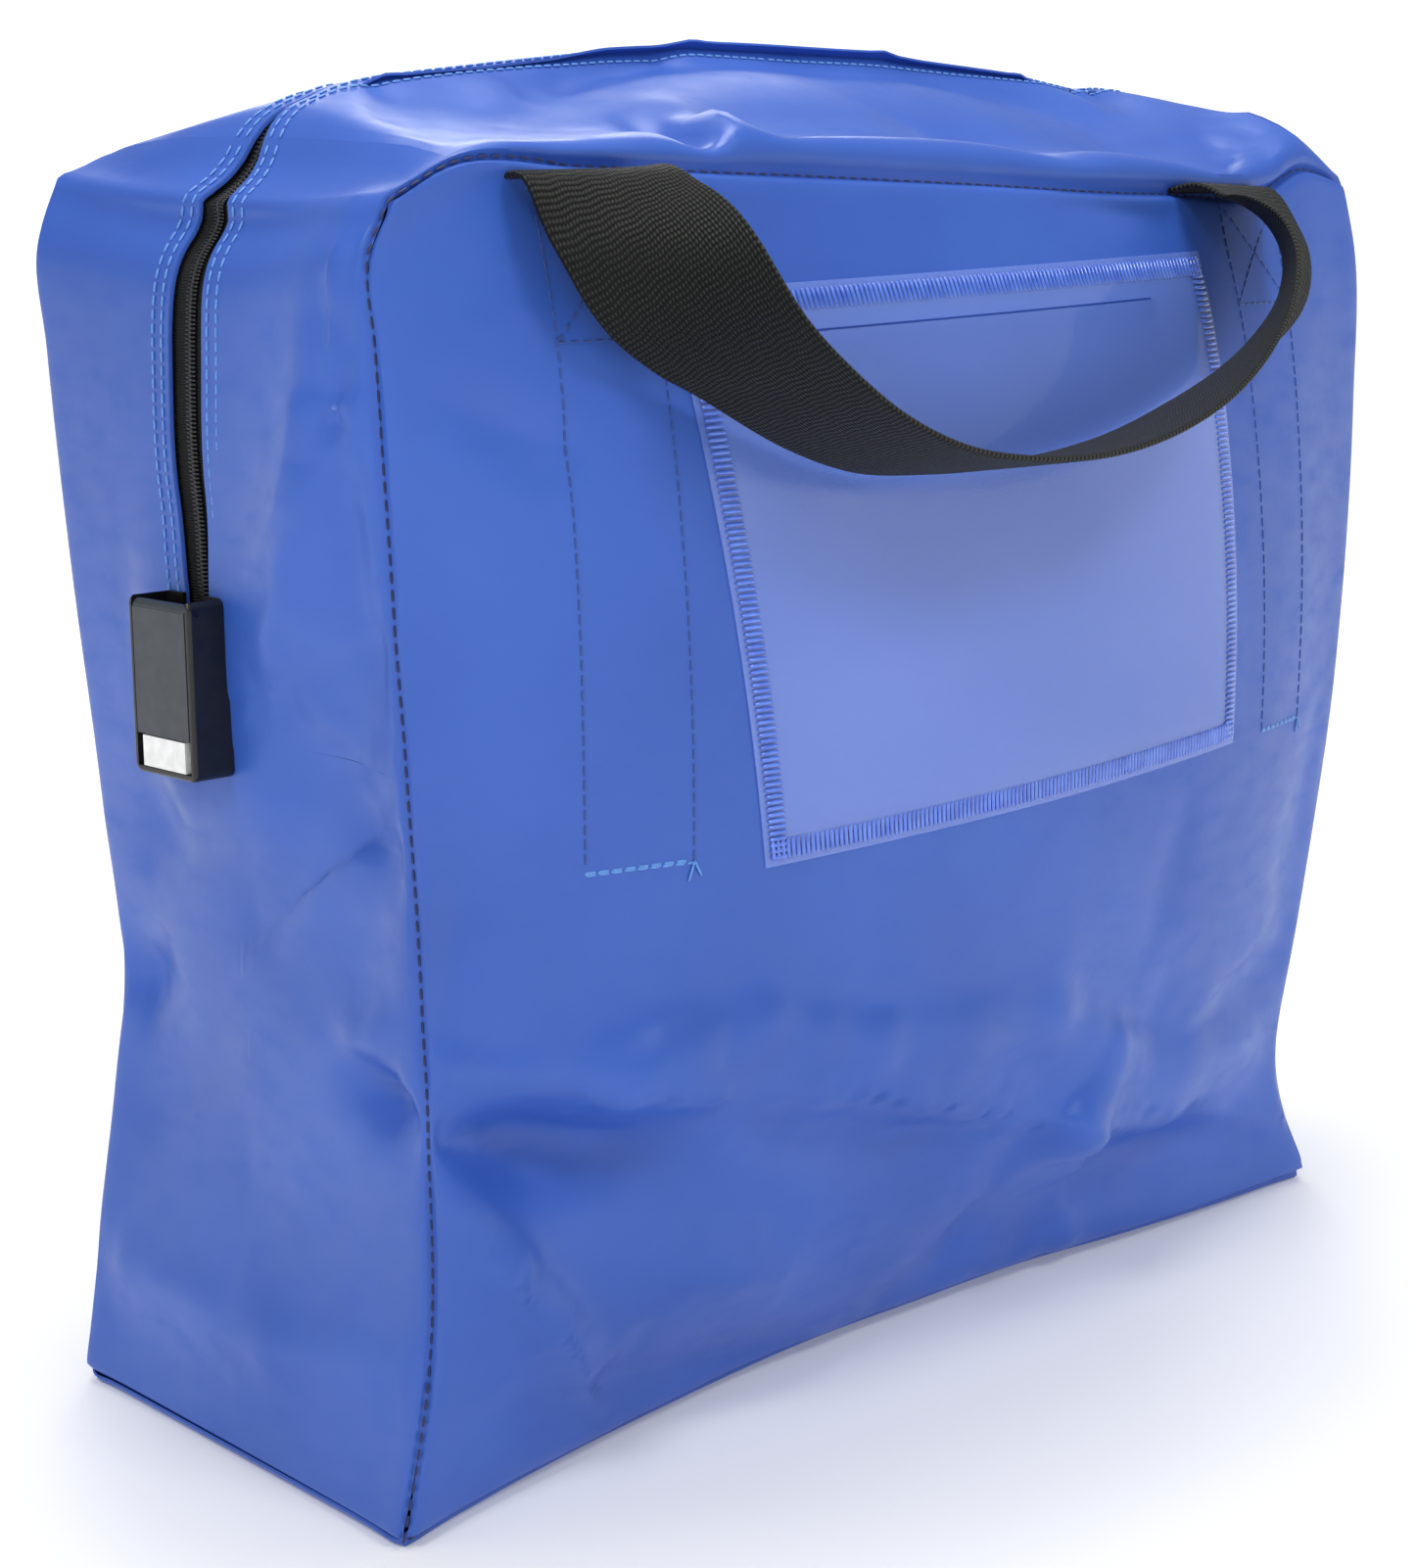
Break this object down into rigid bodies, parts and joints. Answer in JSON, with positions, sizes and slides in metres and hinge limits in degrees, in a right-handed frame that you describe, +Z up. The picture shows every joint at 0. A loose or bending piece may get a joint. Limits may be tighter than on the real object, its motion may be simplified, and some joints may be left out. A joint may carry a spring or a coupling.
{
  "type": "cash deposit bag",
  "caption": "Box-shaped coated-fabric cash bag with a zipped top, a seal lock on one end, a clear label window and webbing carrying handles.",
  "frame": {"origin": "centre of the underside, on the surface it stands on", "axes": "+Z up, +X along the front panel away from the lock, the front panel with the label window faces -Y"},
  "size_m": [0.4881, 0.3492, 0.4417],
  "materials": {
    "blue_fabric": "satin coated fabric",
    "black_webbing": "woven",
    "black_zip": "woven tape",
    "black_nylon": "fine texture",
    "grey_nylon": "fine texture",
    "white_nylon": "satin",
    "clear_pvc": "glossy clear film",
    "steel": "plated"
  },
  "bodies": {
    "bag": {"front_panel": "blue_fabric", "back_panel": "blue_fabric", "gusset_band": "blue_fabric", "window_sheet": "clear_pvc", "window_weld_rib": "clear_pvc", "zip_bottom_stop": "steel", "zip_end_stop": "black_zip", "lock_housing": "black_nylon", "door_pin": "steel", "lock_back_plate": "black_nylon", "lock_rivets": "steel", "end_zip_tape_front": "black_zip", "end_zip_coil_front": "black_zip", "front_tail_left": "black_webbing", "front_tail_right": "black_webbing", "end_zip_tape_back": "black_zip", "end_zip_coil_back": "black_zip", "back_tail_left": "black_webbing", "back_tail_right": "black_webbing"},
    "front_lip_flap": {"front_lip": "blue_fabric", "lip_zip_tape_front": "black_zip", "lip_zip_coil_front": "black_zip"},
    "back_lip_flap": {"back_lip": "blue_fabric", "lip_zip_tape_back": "black_zip", "lip_zip_coil_back": "black_zip"},
    "front_strap": {"front_handle": "black_webbing"},
    "back_strap": {"back_handle": "black_webbing"},
    "slider": {"zip_slider": "steel", "slider_key": "black_nylon"},
    "door": {"lock_door": "grey_nylon"},
    "seal": {"seal_insert": "white_nylon"}
  },
  "joints": [
    {"name": "front_lip_open", "type": "hinge", "parent": "bag", "child": "front_lip_flap", "pos_m": [0, -0.087, 0.3963], "axis": [1, 0, 0], "range_deg": [0, 36]},
    {"name": "back_lip_open", "type": "hinge", "parent": "bag", "child": "back_lip_flap", "pos_m": [0, 0.087, 0.3963], "axis": [-1, 0, 0], "range_deg": [0, 36]},
    {"name": "front_handle_swing", "type": "hinge", "parent": "bag", "child": "front_strap", "pos_m": [0, -0.0906, 0.3966], "axis": [-1, 0, 0], "range_deg": [0, 140]},
    {"name": "back_handle_swing", "type": "hinge", "parent": "bag", "child": "back_strap", "pos_m": [0, 0.0906, 0.3966], "axis": [1, 0, 0], "range_deg": [0, 140]},
    {"name": "zip_slide", "type": "slide", "parent": "bag", "child": "slider", "axis": [0, 0, 1], "range_m": [0, 0.12]},
    {"name": "lock_door_lift", "type": "hinge", "parent": "bag", "child": "door", "pos_m": [-0.2485, 0.002, 0.2716], "axis": [0, 1, 0], "range_deg": [0, 110]},
    {"name": "seal_pull", "type": "slide", "parent": "bag", "child": "seal", "axis": [-1, 0, 0], "range_m": [0, 0.015]}
  ]
}
